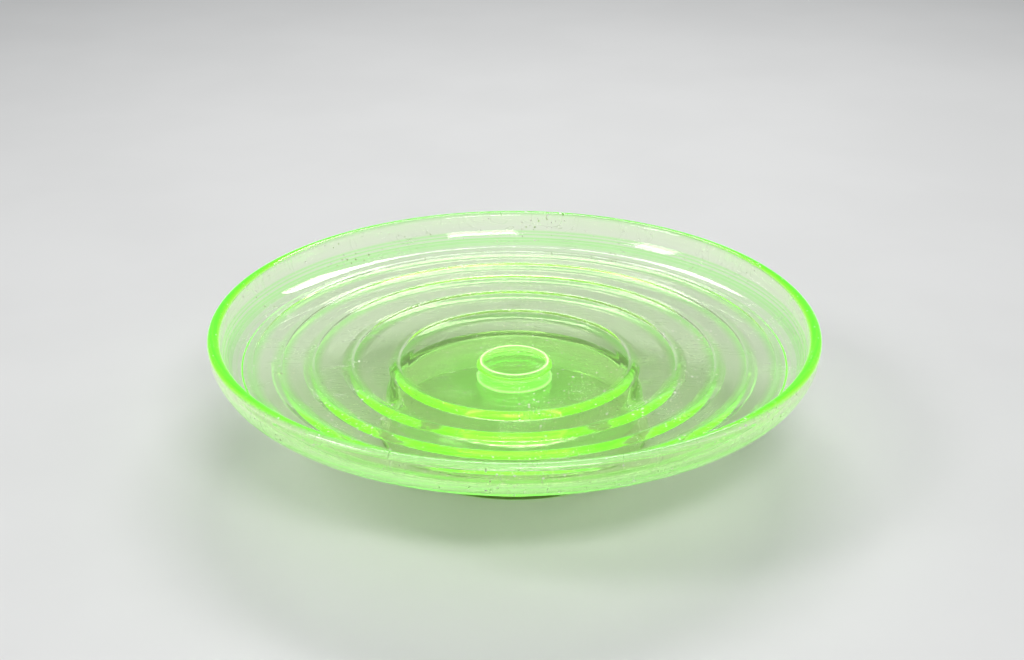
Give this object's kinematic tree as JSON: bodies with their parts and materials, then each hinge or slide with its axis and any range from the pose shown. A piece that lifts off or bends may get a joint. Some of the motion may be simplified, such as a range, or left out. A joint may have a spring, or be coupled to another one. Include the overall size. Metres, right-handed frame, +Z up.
{
  "type": "footed glass dish",
  "caption": "Round shallow dish of green uranium glass with concentric steps, on a short solid stem and a hollow flared foot.",
  "frame": {"origin": "centre of the face the foot rests on", "axes": "+Z up along the dish's axis; X and Y are any two level directions, because every piece is round"},
  "size_m": [0.25, 0.25, 0.0534],
  "materials": {
    "dish_glass": "polished green uranium glass",
    "stem_glass": "polished green uranium glass",
    "foot_glass": "polished green uranium glass"
  },
  "bodies": {
    "root": {"dish": "dish_glass", "stem": "stem_glass", "foot": "foot_glass"}
  },
  "joints": []
}
